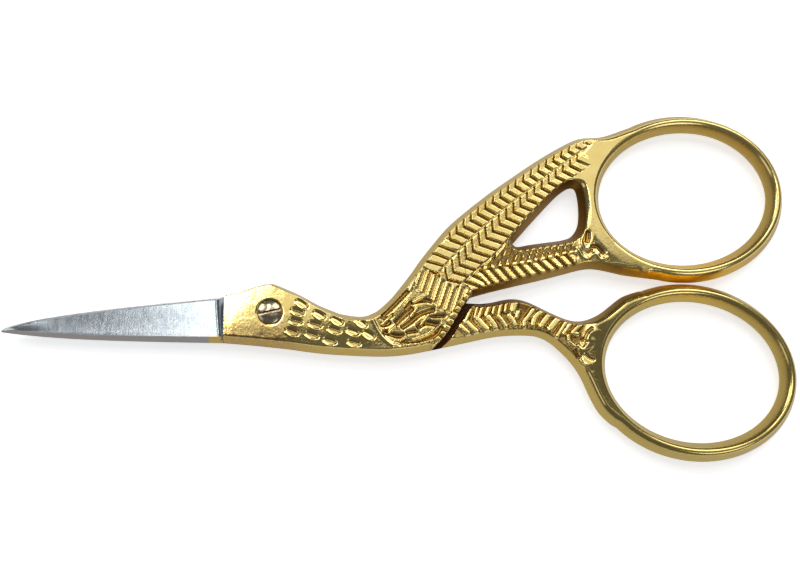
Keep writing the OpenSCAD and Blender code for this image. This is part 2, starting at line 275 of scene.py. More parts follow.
def rear_outlines():
    outer = loop(
        (soften(spline(LOWER_LOW), 0.5), DRAFT, 0),
        (ring_arc(LOWER_RING, BAR / 2, 226, 482), DRAFT, 0),
        (soften(spline(LOWER_TOP), 0.4), DRAFT, 0.8),
        (spline(REAR_BREAST), DRAFT, 0.5),
        *HEAD_RUNS,
    )
    opening = ring_arc(LOWER_RING, -BAR / 2, 0, 360)[:-1]
    bore = circle(THREAD_R + THREAD_GAP)
    return [outer, hole(opening, DRAFT), hole(bore, SQUARE)]


# Plates: a closed mesh between two height fields
def rows_inside(loops, spacing, keep=None):
    """Points of a triangular grid that lie inside the loops, and where keep says."""
    a = np.vstack(loops)
    (x0, y0), (x1, y1) = a.min(0), a.max(0)
    b = np.vstack([np.roll(points, -1, 0) for points in loops])
    found = []
    for row, y in enumerate(np.arange(y0, y1, spacing * 0.866)):
        crossing = (a[:, 1] > y) != (b[:, 1] > y)
        p, q = a[crossing], b[crossing]
        cuts = np.sort(p[:, 0] + (y - p[:, 1]) / (q[:, 1] - p[:, 1]) * (q[:, 0] - p[:, 0]))
        x = np.arange(x0 + row % 2 * spacing / 2, x1, spacing)
        x = x[np.searchsorted(cuts, x) % 2 == 1]
        found.append(np.c_[x, np.full(len(x), y)])
    grid = np.vstack(found)
    return grid[keep(grid[:, 0])] if keep else grid


def tree_of(points):
    tree = kdtree.KDTree(len(points))
    for i, (x, y) in enumerate(points):
        tree.insert((x, y, 0), i)
    tree.balance()
    return tree


def clear_of(tree, points, least):
    """Which points lie at least so far from those of a tree."""
    return np.array([tree.find((x, y, 0))[2] > least for x, y in points])


def even_out(values, reach):
    """Running mean round a closed outline, over so many points to either side."""
    kernel = np.hanning(2 * reach + 3)[1:-1]
    wrapped = np.r_[values[-reach:], values, values[:reach]]
    return np.convolve(wrapped, kernel / kernel.sum(), "valid")


class Rim:
    """The outlines of a plate, and how far any point lies from their sloping walls."""

    def __init__(self, outlines):
        self.loops = [o[0] for o in outlines]
        self.points = np.vstack(self.loops)
        rise = np.concatenate([o[1] for o in outlines])
        self.walls = np.flatnonzero(rise < SQUARE)
        self.rise = np.concatenate([
            np.exp(even_out(np.log(np.minimum(o[1], STEEP)), 3)) for o in outlines])
        # Painted shade on each wall, evened out along its outline
        self.dark = np.concatenate([even_out(o[2], 14) for o in outlines])
        starts = np.cumsum([0] + [len(points) for points in self.loops])
        spans = [np.arange(i, j) for i, j in zip(starts[:-1], starts[1:])]
        self.next = np.concatenate([np.roll(span, -1) for span in spans])
        self.last = np.concatenate([np.roll(span, 1) for span in spans])
        self.tree = tree_of(self.points)
        self.wall_tree = tree_of(self.points[self.walls])

    def measure(self, p):
        """Distance to the nearest wall, and the rim point it belongs to."""
        near = self.walls[[self.wall_tree.find((x, y, 0))[1] for x, y in p]]
        gaps = []
        for a, b in ((near, self.next[near]), (self.last[near], near)):
            run = self.points[b] - self.points[a]
            t = np.clip(((p - self.points[a]) * run).sum(1) / (run * run).sum(1), 0, 1)
            gaps.append(np.hypot(*(p - self.points[a] - run * t[:, None]).T))
        return np.minimum(*gaps), near


def triangles(rim, grid):
    """Delaunay triangles over the rim and the points inside it."""
    n = len(rim.points)
    points = np.vstack([rim.points, grid])
    edges = [(i, int(rim.next[i])) for i in range(n)]
    verts, _, faces, origs, _, _ = delaunay_2d_cdt([Vector(p) for p in points], edges, [], 0, 1e-7)
    source = np.array([o[0] if o else -1 for o in origs])
    faces = source[np.array([f[:] for f in faces])]
    faces = faces[(faces >= 0).all(1)]
    rimmed = (faces < n).all(1)
    middles = points[faces[rimmed]].mean(1)
    keep = np.ones(len(faces), bool)
    keep[np.flatnonzero(rimmed)] = even_odd(rim.loops, middles)
    return points, faces[keep]


def even_odd(loops, p):
    inside = np.zeros(len(p), bool)
    for points in loops:
        for (ax, ay), (bx, by) in zip(points, np.roll(points, -1, 0)):
            if ay != by:
                over = (ay > p[:, 1]) != (by > p[:, 1])
                x = ax + (p[:, 1] - ay) / (by - ay) * (bx - ax)
                inside ^= over & (p[:, 0] < x)
    return inside


def plate(name, outlines, top, bottom, grids, marks=((), ())):
    """A closed mesh from a top and a bottom height field, which each give (height, recess).

    The second value is painted shade: 0 on a bright face, up to 1 in grooves, and 2 for the painted
    shadow in the slit.
    """
    rim = Rim(outlines)
    sheets = []
    for field, parts, extra in zip((top, bottom), grids, marks):
        inner = np.vstack([rows_inside(rim.loops, *part) for part in parts])
        if len(extra):
            inner = np.vstack([inner[clear_of(tree_of(extra), inner, 0.06)], extra])
        points, faces = triangles(rim, inner[clear_of(rim.tree, inner, 0.05)])
        gap, near = rim.measure(points)
        rise = rim.rise[near]
        height, painted_shade = field(points[:, 0], points[:, 1], gap, rise)
        wall = wall_share(gap * rise)
        # Painted shade of grooves fades out on the walls, but not the slit's painted shadow; each wall
        # then takes the painted shade of its outline.
        painted_shade = np.where(painted_shade < 1.5, painted_shade * (1 - wall), painted_shade)
        painted_shade = np.maximum(painted_shade, 0.9 * wall * rim.dark[near])
        sheets.append((points, faces, height, painted_shade, wall))
    return solid(name, rim, sheets)


def solid(name, rim, sheets):
    (p1, f1, z1, r1, w1), (p2, f2, z2, r2, w2) = sheets
    base = len(p1)
    i = np.arange(len(rim.points))
    j = rim.next
    walls = np.vstack([np.c_[i + base, j + base, j], np.c_[i + base, j, i]])
    faces = np.vstack([oriented(p1, f1), oriented(p2, f2)[:, ::-1] + base, walls])
    co = np.vstack([np.c_[p1, z1], np.c_[p2, z2]])
    shares = {"painted_shade": np.r_[r1, r2], "wall": np.r_[w1, w2]}
    obj = mesh_object(name, co, faces, shares)
    obj.data.set_sharp_from_angle(angle=math.radians(62))
    return obj


def oriented(points, faces):
    a, b, c = (points[faces[:, k]] for k in range(3))
    turn = (b[:, 0] - a[:, 0]) * (c[:, 1] - a[:, 1]) - (b[:, 1] - a[:, 1]) * (c[:, 0] - a[:, 0])
    return np.where((turn > 0)[:, None], faces, faces[:, ::-1])


def placed(name, data):
    """A new object in the scene."""
    obj = bpy.data.objects.new(name, data)
    bpy.context.scene.collection.objects.link(obj)
    return obj


def mesh_object(name, co, faces, shares):
    """A mesh of triangles from points in millimetres from the pivot, placed in the row frame."""
    mesh = bpy.data.meshes.new(name)
    mesh.vertices.add(len(co))
    mesh.vertices.foreach_set("co", ((co - (*ORIGIN, 0)) / 1000).astype(np.float32).ravel())
    mesh.loops.add(faces.size)
    mesh.loops.foreach_set("vertex_index", faces.astype(np.int32).ravel())
    mesh.polygons.add(len(faces))
    mesh.polygons.foreach_set("loop_start", np.arange(0, faces.size, 3, dtype=np.int32))
    mesh.update(calc_edges=True)
    mesh.polygons.foreach_set("use_smooth", np.ones(len(faces), bool))
    for key, values in shares.items():
        attribute = mesh.attributes.new(key, "FLOAT", "POINT")
        attribute.data.foreach_set("value", np.asarray(values, np.float32))
    mesh.validate()
    return placed(name, mesh)


# Relief of the bird, in millimetres over its face
WING_QUILL = spline([
    (22.3, 6.4), (23.6, 8.4), (25.0, 10.1), (26.5, 11.9), (29.0, 14.3), (31.7, 16.6), (34.4, 18.7),
    (36.8, 20.5), (39.4, 22.3), (41.8, 24.0), (44.2, 25.6), (46.6, 27.1),
], 0.4)
ROW_BORDER = spline([
    (23.8, 5.9), (25.3, 7.7), (26.8, 9.4), (28.9, 11.6), (31.2, 13.8), (33.2, 15.6), (35.9, 17.9),
    (38.9, 20.3), (41.5, 22.4), (44.7, 24.8), (48.3, 27.3),
], 0.4)
SECOND_QUILL = spline([
    (25.0, 4.7), (25.8, 5.8), (27.0, 7.2), (28.3, 8.6), (30.2, 10.6), (32.3, 12.8), (34.3, 14.8),
    (36.5, 16.7), (38.6, 18.7), (40.8, 20.4), (43.0, 22.3), (45.4, 24.2),
], 0.4)
SECOND_EDGE = spline([
    (26.0, 3.6), (27.6, 5.0), (30.4, 7.6), (32.7, 9.7), (34.6, 11.9), (37.2, 15.0), (40.2, 18.0),
    (43.6, 20.9), (46.4, 22.9),
], 0.4)
LEG_QUILL = spline([
    (27.6, 4.9), (29.2, 6.3), (30.7, 7.1), (33.8, 7.7), (37.8, 8.4), (41.1, 9.3), (44.2, 10.0),
    (46.0, 10.2),
], 0.4)
# Strokes on the lower leg, each (path, half width)
LOWER_STROKES = [
    ([(27.1, -1.25), (28.3, -2.4)], 0.3),
    ([(28.0, -0.65), (28.7, -1.35), (29.5, -2.1)], 0.34),
    ([(29.8, -0.3), (30.45, -1.05), (31.1, -1.75)], 0.36),
    ([(31.35, 0.0), (31.9, -0.7), (32.4, -1.45)], 0.34),
    ([(32.85, 0.2), (33.4, -0.5), (33.9, -1.25)], 0.26),
    ([(34.4, 0.35), (34.9, -0.35), (35.3, -1.0)], 0.3),
    ([(28.0, -0.55), (28.8, 1.1)], 0.22),
    ([(29.3, -0.1), (29.7, 1.35)], 0.18),
    ([(30.0, 0.1), (30.5, 1.6)], 0.22),
    ([(31.0, 0.3), (31.6, 1.9)], 0.26),
    ([(32.0, 0.6), (32.4, 2.1)], 0.2),
    ([(32.9, 0.6), (33.3, 2.2)], 0.22),
    ([(33.8, 0.9), (34.1, 2.3)], 0.2),
    ([(35.0, 1.15), (35.3, 2.2)], 0.42),
    ([(35.5, 0.2), (35.8, 0.9)], 0.25),
    ([(37.9, 1.2), (37.15, 0.15), (36.7, -0.4), (36.6, -1.05)], 0.3),
    ([(39.1, 0.95), (38.3, 0.2), (37.9, -0.9)], 0.34),
    ([(40.2, 0.4), (39.1, -1.0)], 0.38),
    ([(41.55, -0.1), (40.45, -1.4)], 0.42),
    ([(42.9, -0.3), (42.1, -1.55), (41.45, -2.5)], 0.26),
    ([(43.4, -0.8), (42.4, -2.1)], 0.24),
    ([(45.0, -0.8), (44.2, -1.5), (43.75, -2.1), (44.5, -2.2)], 0.28),
    ([(43.1, -2.5), (43.25, -3.3), (43.85, -4.0)], 0.28),
]
# Neck scales, each (x, y, turn in degrees)
SCALES = [
    (4.5, 1.25, -32), (3.9, 0.1, -18), (3.7, -1.3, -14), (3.2, -2.8, -22), (7.0, -0.3, -30),
    (6.4, -1.7, -16), (6.0, -3.2, -18), (9.5, -1.1, -30), (9.1, -2.4, -16), (8.5, -4.0, -16),
    (12.9, -1.3, -34), (11.7, -2.6, -20), (11.9, -4.2, -14), (14.0, -3.0, -30),
]
# Breast feathers: dark troughs, each (path, half width, depth), and bright tips, with a top instead
TROUGHS = [
    ([(15.9, -0.3), (16.9, 0.7), (18.4, 2.3), (19.8, 3.8)], 0.3, -0.36),
    ([(18.9, 1.0), (20.0, 1.8), (22.2, 2.3), (23.2, 2.0)], 0.26, -0.36),
    ([(17.8, -1.3), (19.2, 0.2), (20.4, 1.2)], 0.36, -0.42),
    ([(18.6, -1.9), (20.0, -0.9), (21.3, 0.2), (22.8, 0.8), (23.6, 0.9)], 0.3, -0.42),
    ([(20.9, -1.7), (22.2, -1.0), (23.4, -1.15), (24.3, -1.3)], 0.32, -0.4),
    ([(18.5, -3.9), (20.5, -4.05), (22.4, -3.4), (23.85, -2.5), (24.5, -1.4)], 0.32, -0.4),
    ([(15.7, -1.5), (16.6, -1.3), (17.2, -0.9)], 0.3, -0.38),
    ([(16.0, -2.4), (17.2, -2.8), (18.2, -3.0), (19.2, -2.9)], 0.26, -0.38),
    ([(19.3, -2.5), (20.4, -2.3), (21.3, -2.2)], 0.22, -0.32),
    ([(15.6, -0.3), (16.6, -0.5), (17.6, 0.1)], 0.22, -0.3),
    ([(22.9, -0.1), (24.0, 0.0), (25.2, 0.1)], 0.2, -0.3),
]
TIPS = [
    ([(15.95, -1.4), (16.5, -0.8), (17.15, -0.2)], 0.24, 0.15),
    ([(16.9, -2.55), (17.3, -2.1), (17.8, -1.65)], 0.22, 0.14),
    ([(18.5, -3.7), (18.9, -3.3), (19.35, -2.95)], 0.2, 0.12),
    ([(20.0, -0.15), (20.5, 0.5), (21.05, 1.25)], 0.25, 0.16),
    ([(21.45, -1.35), (21.95, -0.7), (22.55, 0.1)], 0.24, 0.16),
    ([(18.95, 1.25), (19.35, 1.7), (19.8, 2.25)], 0.2, 0.12),
    ([(20.4, 1.95), (21.0, 2.3), (21.7, 2.65)], 0.28, 0.13),
    ([(19.85, 3.7), (20.3, 4.7), (20.9, 5.8)], 0.34, 0.13),
    ([(20.3, -3.6), (22.2, -2.9), (23.4, -2.05), (24.35, -1.2)], 0.16, 0.1),
    ([(20.6, -1.5), (20.9, -1.95), (21.2, -2.4)], 0.14, 0.08),
    ([(15.7, 0.05), (17.4, 1.85), (19.5, 4.15)], 0.12, 0.06),
]
COLLAR = spline([(14.3, -0.3), (15.1, -1.9), (15.8, -3.0), (16.5, -3.7), (17.3, -4.3), (18.2, -4.6)], 0.3)
BEADS = spline([
    (17.3, -4.35), (18.2, -4.65), (19.8, -4.5), (21.5, -4.25), (23.2, -3.75), (24.2, -3.2), (24.9, -2.3),
    (25.6, -1.2), (26.1, -0.4), (26.6, 0.6), (27.3, 1.6), (28.0, 2.5), (28.9, 3.6),
], 0.3)


def barbs(s, d, pitch, sweep, first=0.0):
    """Where each point lies within its barb, from 0 to 1: barbs sweep from the quill, (left, right)."""
    reach = np.where(d > 0, sweep[0] * d, -sweep[1] * d)
    return (s - reach - first) / pitch % 1.0


def bar_profile(phase, groove=0.27, lift=0.08, deep=0.36):
    """A shingled bar: a deep groove, a steep front and a back that falls away."""
    front = ramp(phase, groove - 0.08, groove + 0.03)
    sunk = ramp(phase, 0, 0.09) * (1 - front)
    back = lift * (1 - np.clip((phase - groove) / (1 - groove), 0, 1))
    return back * front - deep * sunk


def lay(height, mask, value):
    return height * (1 - mask) + value * mask


def scales(x, y, height):
    """Scale marks of the neck: steep above, with a long floor that rises to a lip below."""
    long, high = 1.05, 0.72    # half the size of a scale
    for place in SCALES:
        u, v = local(x, y, place)
        half = np.sqrt(np.clip(1 - (u / long) ** 2, 0, 1)) + 1e-6
        t = (v / high / half + 1) / 2
        floor = np.interp(t, [0, 0.08, 0.25, 0.5, 0.64, 1.0], [0, 0.05, -0.04, -0.11, -0.22, 0])
        height = height + floor * ramp(half, 0.05, 0.6)
    return height


def ridge(x, y, height, path, half, top, lean=(-0.2, 0.08)):
    """A ridge laid over what is there: almost flat above, with steep sides, and leaning across."""
    line = spline(path, 0.3)
    s, d = along(line, x, y)
    total = travel_of(line)[-1]
    ux, uy = (line[-1] - line[0]) / np.hypot(*(line[-1] - line[0]))
    slope = lean[0] * uy - lean[1] * ux
    out = np.maximum(np.maximum(-s, s - total), 0)
    across = np.hypot(d, out) / half
    crown = top + slope * d - 0.36 * across ** 4
    return np.maximum(height, np.where(across < 1.4, crown, -9))


def leaves(x, y, height):
    """Overlapping feathers of the breast, between the collar and the beads."""
    right_of_collar = ramp(along(COLLAR, x, y)[1], 0.15, 0.5) * (x > 14.5)
    inside_beads = ramp(along(BEADS, x, y)[1], 0.25, 0.45)
    height = lay(height, right_of_collar * inside_beads, -0.08)
    height = strokes(x, y, height, TROUGHS)
    for path, half, top in TIPS:
        height = ridge(x, y, height, path, half, top)
    return height


# Upper and lower limit of the fan, each (x values, y values)
FAN_TOP = ([19.6, 20.5, 22.2, 24.5, 25.0, 25.8, 27.0, 28.3], [5.4, 6.2, 6.7, 6.75, 6.1, 5.2, 4.6, 4.1])
FAN_LOW = ([19.6, 20.4, 22.3, 23.4, 24.4, 26.1, 27.4], [4.6, 4.1, 2.9, 2.0, 0.9, 0.6, 1.4])


def fan(x, y, height):
    """Long upright feathers between the breast and the wing."""
    turn = math.radians(71)
    width = 1.04
    phase = ((x - 21.74) * math.sin(turn) - (y - 3.5) * math.cos(turn)) / width % 1.0
    bars = np.interp(phase, [0, 0.5, 0.6, 0.92, 1.0], [-0.2, -0.2, 0.02, 0.1, -0.2])
    upper = np.interp(x, *FAN_TOP)
    lower = np.interp(x, *FAN_LOW)
    mask = ramp(y, lower - 0.12, lower + 0.12) * (1 - ramp(y, upper - 0.1, upper + 0.1))
    mask = mask * ramp(x, 20.5, 20.8) * ramp(along(BEADS, x, y)[1], 0.3, 0.5)
    return lay(height, mask, bars)


def wing(x, y, height):
    """Two rows of feathers on either side of their quills, worn away towards the ring."""
    s1, d1 = along(WING_QUILL, x, y)
    s2, d2 = along(SECOND_QUILL, x, y)
    border = along(ROW_BORDER, x, y)[1]
    edge = along(SECOND_EDGE, x, y)[1]
    worn = 1 - 0.75 * ramp(s1, 27.5, 33.5)
    first = bar_profile(barbs(s1, d1, FEATHER, (0.93, 0.42)), np.where(d1 > 0, 0.23, 0.35))
    second = bar_profile(barbs(s2, d2, FEATHER, (0.85, 0.5), 0.5), np.where(d2 > 0, 0.23, 0.33))
    plain = 1 - ramp(s1, 5.0, 6.0)
    straight = bar_profile((s1 + 0.35 * d1) / FEATHER % 1.0)
    first = lay(first, plain, straight)
    in_first = ramp(border, 0.08, 0.22)
    in_first = in_first * ramp(s1, 0.3, 0.6) * (1 - ramp(s1, 33.3, 33.6))
    in_second = ramp(-border, 0.1, 0.24) * ramp(edge, 0.0, 0.15)
    in_second = in_second * ramp(s2, 0.2, 0.5) * (1 - ramp(s2, 28.8, 30.3))
    height = lay(height, in_first, first * worn)
    height = lay(height, in_second, second * worn)
    crest = 0.1 * np.exp(-(border / 0.14) ** 2) * ramp(s1, 3, 5) * (1 - ramp(s1, 29, 31.5))
    return height + crest


def leg(x, y, height):
    """One row of feathers on the upper leg."""
    s, d = along(LEG_QUILL, x, y)
    left = bar_profile(barbs(s, d, 1.1, (0.75, 0.9)), 0.4, 0.08, 0.3)
    right = bar_profile(barbs(s, d, FEATHER, (0.9, 0.62), 0.1), 0.42, 0.12, 0.36)
    bars = np.where(d > 0, left, right)
    edge = along(SECOND_EDGE, x, y)[1]
    mask = ramp(-edge, 0.12, 0.3) * ramp(s, 0.1, 0.5) * (1 - ramp(s, 17.6, 18.4))
    mask = mask * (1 - ramp(np.abs(d), 3.2, 3.4))
    height = lay(height, mask, bars)
    return height + 0.07 * np.exp(-(d / 0.16) ** 2) * mask


def lower_leg(x, y, height):
    """Raised strokes over a sunk ground, up to the ring."""
    ground = ramp(x, 25.8, 26.6) * (1 - ramp(x, 44.0, 47.5))
    height = lay(height, ground, -0.35)
    for path, half in LOWER_STROKES:
        height = ridge(x, y, height, path, 1.65 * half, 0.02, (0, 0.12))
    middle = np.interp(x, [26, 36, 45, 48], [0, 0.6, -2, -3.5])
    return height - 0.06 * (y - middle) * ground


def strokes(x, y, height, marks):
    """Raised or sunk lines, each a (path, half width, lift)."""
    for path, half, lift in marks:
        line = spline(path, 0.3)
        s, d = along(line, x, y)
        total = travel_of(line)[-1]
        ends = ramp(s, -0.05, 0.25) * (1 - ramp(s, total - 0.25, total + 0.05))
        height = height + lift * np.exp(-(d / half) ** 2) * ends
    return height


# Curls where the legs meet the rings, each (path, half width, lift)
CURLS = [
    ([(46.8, 14.4), (46.1, 13.0), (45.5, 11.6), (45.9, 10.5)], 0.24, 0.14),
    ([(46.8, 14.4), (47.2, 12.8), (47.0, 11.4), (46.3, 10.5)], 0.24, 0.14),
    ([(46.6, 13.5), (46.45, 12.5), (46.3, 11.5)], 0.34, -0.42),
    ([(44.9, 10.9), (45.5, 9.6), (46.3, 9.1), (47.0, 9.6), (47.7, 9.9), (48.4, 9.1), (49.6, 9.4)],
     0.24, 0.15),
    ([(46.8, 11.0), (47.8, 11.1), (48.5, 10.5), (49.0, 9.9)], 0.3, -0.42),
    ([(46.2, 10.0), (46.8, 10.4), (47.3, 10.6)], 0.2, -0.3),
]
LOWER_CURLS = [
    ([(44.3, -3.6), (45.0, -4.45), (45.75, -4.05), (46.35, -3.35), (45.95, -2.8), (46.6, -2.1),
      (47.9, -2.4)], 0.42, 0.26),
    ([(44.9, -3.1), (45.55, -2.8), (46.1, -1.8), (46.9, -1.15)], 0.2, -0.16),
    ([(44.4, -5.75), (44.95, -6.5), (45.7, -7.05), (46.6, -6.9)], 0.42, 0.26),
    ([(45.3, -5.0), (46.0, -5.7), (46.9, -6.0)], 0.2, -0.16),
    ([(43.9, -4.3), (44.4, -5.2), (45.2, -7.2)], 0.3, -0.3),
]


def breast(x, y, height):
    """Leaves and fan, with a row of beads below them and a collar before them."""
    height = leaves(x, y, height)
    height = fan(x, y, height)
    s, d = along(BEADS, x, y)
    across = np.abs(s / 1.07 % 1.0 - 0.5) * 2
    depth = 0.1 + 0.28 * ramp(s, 5.0, 7.5)
    bead = 0.12 - depth * ramp(across, 0.5, 0.85)
    on_line = (s > 0.2) * (s < travel_of(BEADS)[-1])
    height = lay(height, (1 - ramp(np.abs(d), 0.36, 0.52)) * on_line, bead)
    d = along(COLLAR, x, y)[1]
    return height + 0.12 * np.exp(-(d / 0.2) ** 2) * (x < 18.6) * (y < 0.1)


def ring_gap(x, y, ring):
    """Distance outward from the middle of a ring's bar."""
    u, v = local(x, y, ring)
    u, v = u / RING_A, v / RING_B
    r = np.hypot(u, v)
    return (r - 1) * r / np.hypot(u / RING_A, v / RING_B)


def seat(x, y, height):
    """The screw's counterbore, with a small bevel round it."""
    r = np.hypot(x, y)
    bevel = 0.035 * (1 - ramp(r, SEAT_R, SEAT_R + 0.15))
    return np.where(r < SEAT_R, height - SEAT_DEPTH, height - bevel)


def wall_share(climb):
    """1 on a forged wall, 0 on a face, from the height the wall alone would reach."""
    return 1 - ramp(climb, FACE - 0.35, FACE - 0.05)


def front_relief(x, y):
    height = scales(x, y, np.zeros(x.shape))
    height = breast(x, y, height)
    height = wing(x, y, height)
    height = leg(x, y, height)
    return strokes(x, y, height, CURLS)


def rear_relief(x, y):
    height = lower_leg(x, y, np.zeros(x.shape))
    return strokes(x, y, height, LOWER_CURLS)


def rear_back_relief(x, y):
    height = scales(x, y, np.zeros(x.shape))
    height = breast(x, y, height)
    right = along(SLIT_LINE, x, y)[1] > 0
    return np.where(right, rear_relief(x, y), height)


def forged(relief, ring, x, y, gap, rise):
    """A carved face and the walls round it: height over the parting plane, and painted shade in its
    grooves.

    Walls blend into the face by a little on the bird, and into an oval bar on the ring.
    """
    from_ring = ring_gap(x, y, ring)
    on_ring = 1 - ramp(from_ring, 1.3, 3.2)
    body = np.clip(relief(x, y) * ramp(from_ring, 0.0, 0.8), -0.4, LAND - FACE)
    face = smooth_min(FACE + (LAND - FACE) * on_ring + body, LAND + 0.02, 0.08)
    z = smooth_min(FLASH + gap * rise, face, 0.16 + 0.74 * on_ring)
    return z, np.clip(-body / 0.3, 0, 1) * (gap > 0.05)


def beside(line, x, y):
    """Distance from a line that parts full thickness (positive) from a half's thin layer."""
    return np.where(x > 31, 9, along(line, x, y)[1])


def front_top(x, y, gap, rise):
    z, painted_shade = forged(front_relief, UPPER_RING, x, y, gap, rise)
    z = seat(x, y, z) + LAYER * (x < 28)
    return MID + np.minimum(z, LAND), painted_shade


def front_bottom(x, y, gap, rise):
    z, painted_shade = forged(front_relief, UPPER_RING, x, y, gap, rise)
    step = beside(STEP_LINE, x, y)
    full = (step > 0) & (x > 16.2)
    z = smooth_min(z, FLASH + np.abs(step) * DRAFT, 0.1)
    z = np.where(full, MID - np.minimum(z, LAND), MID + LAYER)
    # The thin layer that the rear half covers gets a painted shade of 0.6.
    return z, np.where(full, painted_shade, 0.6)


def rear_top(x, y, gap, rise):
    z, painted_shade = forged(rear_relief, LOWER_RING, x, y, gap, rise)
    step = beside(SLIT_LINE, x, y)
    z = smooth_min(z, FLASH + np.abs(step) * STEEP, 0.1)
    z = np.where(step > 0, MID + np.minimum(z, LAND), MID - LAYER)
    slit_and_covered_shade = np.where(step > -1.9, 2.0, 0.35)    # painted shadow in the slit, and painted shade where the breast covers the layer
    return z, np.where(step > 0, painted_shade, slit_and_covered_shade)


def rear_bottom(x, y, gap, rise):
    z, painted_shade = forged(rear_back_relief, LOWER_RING, x, y, gap, rise)
    return MID - np.minimum(z + LAYER * (x < 24), LAND), painted_shade


def within(low, high):
    """Keeps grid points whose x lies between two limits."""
    return lambda x: (x > low) & (x < high)


def beyond(low, high):
    """Keeps grid points whose x lies outside two limits."""
    return lambda x: (x < low - 0.05) | (x > high + 0.05)


def build_handles():
    """The two gilt halves, with finer points where they are carved."""
    coarse = 0.22    # spacing of the grid's points
    fine = 0.107
    seat_rings = circles((1.2, 0.1), (1.77, 0.04), (1.81, 0.04), (1.87, 0.1), (1.96, 0.1))
    head, body, rest = within(-7, 2.1), within(2.2, 50.5), beyond(-7, 50.5)
    front = plate(
        "gilt_front_half", front_outlines(), front_top, front_bottom,
        ([(1.3 * fine, head), (fine, body), (coarse, rest)], [(coarse,)]),
        (seat_rings, STEP_LINE))
    rear = plate(
        "gilt_rear_half", rear_outlines(), rear_top, rear_bottom,
        ([(fine, within(24, 49)), (coarse, beyond(24, 49))], [(coarse,)]),
        (SLIT_LINE, ()))
    return front, rear


# Blades
FACE_STEPS = 15
WALL_STEPS = 4


def blade_sides(u, side):
    """Heights of a blade's cutting edge and spine, from the tip (u = 0) to the plating (u = 1)."""
    tip_edge = TIP_Y + TIP_W / 2
    tip_spine = TIP_Y - TIP_W / 2
    grow = u ** 0.68
    edge = tip_edge + (BLADE_TOP - tip_edge) * grow
    spine = SPINE_Y + (tip_spine - SPINE_Y) * (1 - u) ** 4
    if side > 0:
        return edge, spine
    return spine + SPINE_SHOW, edge + SPINE_SHOW * grow


def fillet(x, across, z):
    """Lifts a blade in a curve to the face of the head, just before the plating."""
    start = PLATING_X - 1.35 + 0.75 * across
    end = PLATING_X + 0.05
    lift = np.clip((x - start) / (end - start), 0, 1) ** 1.8
    return z + lift * np.minimum(z * 4, 1) * (FACE - 0.01 - z)


def blade_section(x, side):
    """A blade from its edge over the ground face to its spine: (y, z over the layer, wall share)."""
    u = min(max((x - PLATING_X + BLADE_LEN) / BLADE_LEN, 0), 1)
    thin = (0.45 + 0.55 * math.sqrt(u)) * (1 - 0.5 * math.exp(-BLADE_LEN * u / 0.7))
    edge, spine = blade_sides(u, side)
    width = abs(edge - spine)
    bevel = min(0.3, width * 0.25)
    wall = min(0.75 * thin, width * 0.42)
    inset = [0, bevel / 2, bevel]
    z = [0.0, EDGE_T / 2 * thin, EDGE_T * thin]
    for k in range(1, FACE_STEPS):
        t = k / FACE_STEPS
        hollow = 0.2 * thin * t * (1 - t)
        inset.append(bevel + (width - bevel - wall) * t)
        z.append((EDGE_T + (BLADE_T - EDGE_T) * t) * thin - hollow)
    for k in range(WALL_STEPS + 1):
        t = k / WALL_STEPS
        inset.append(width - wall * (1 - t))
        z.append(BLADE_T * thin * (1 - t))
    z[-WALL_STEPS - 1] -= 0.02
    inset = np.array(inset)
    share = np.r_[np.zeros(FACE_STEPS + 2), 0.6, np.ones(WALL_STEPS)]
    return edge - side * inset, fillet(x, inset / width, np.array(z)), share


def build_blade(name, side):
    """The front blade (side 1) or the rear one (side -1), from sections that crowd at the tip."""
    tip = PLATING_X - BLADE_LEN
    bend = np.linspace(0, 1, 40) ** 1.6 * 28.6 + tip
    stations = np.r_[bend, np.linspace(-7.7, PLATING_X + 0.1, 14)]
    rows = []
    walls = []
    for x in stations:
        y, z, share = blade_section(x, side)
        rows.append(np.c_[np.full(len(y), x), y, MID + side * (LAYER + z)])
        walls.append(share)
    n = len(rows[0])
    i, j = np.meshgrid(np.arange(len(rows) - 1), np.arange(n), indexing="ij")
    i, j = i.ravel(), j.ravel()
    k = (j + 1) % n
    quads = np.c_[i * n + j, i * n + k, (i + 1) * n + k, (i + 1) * n + j]
    cap = np.array([[0, m, m + 1] for m in range(1, n - 1)])
    last = (len(rows) - 1) * n
    faces = np.vstack([quads[:, [0, 1, 2]], quads[:, [0, 2, 3]], cap[:, ::-1], cap + last])
    obj = mesh_object(name, np.vstack(rows), faces, {"wall": np.concatenate(walls)})
    obj.data.set_sharp_from_angle(angle=math.radians(28))
    return obj


# Screw
SLOT = (0, 0, 14)    # middle of the slot and its turn
DOME_TOP = MID + FACE + DOME_H
BALL_R = (HEAD_R * HEAD_R + DOME_H * DOME_H) / (2 * DOME_H)


def screw_dome(x, y, gap, rise):
    """The slotted dome with its rounded rim, with painted shade in the slot, heavier on its upper side,
    and round the rim.
    """
    z = DOME_TOP - BALL_R + np.sqrt(BALL_R * BALL_R - x * x - y * y)
    from_slot = local(x, y, SLOT)[1]
    cut = 1 - ramp(np.abs(from_slot), 0.17, 0.235)
    z = z - cut * (z - DOME_TOP + SLOT_DEPTH)
    z = z - 0.16 * (1 - ramp(gap, 0, 0.16)) ** 2
    # Painted shade: the slot darker on its upper side
    shade = 0.35 + 0.65 * ramp(from_slot, -0.05, 0.12)
    return z, np.maximum(cut * shade, 0.8 * (1 - ramp(gap, 0.04, 0.17)))


def screw_under(x, y, gap, rise):
    """From the centre out: the thread's end with its chamfer, the shoulder and the head."""
    r = np.hypot(x, y)
    z = np.where(r > SHOULDER_R, MID + FACE - SEAT_DEPTH + TURN_GAP, MID)
    z = np.where(r < THREAD_R, 0.12 + 0.2 * ramp(r, 0.7, THREAD_R), z)
    return z, np.zeros(x.shape)


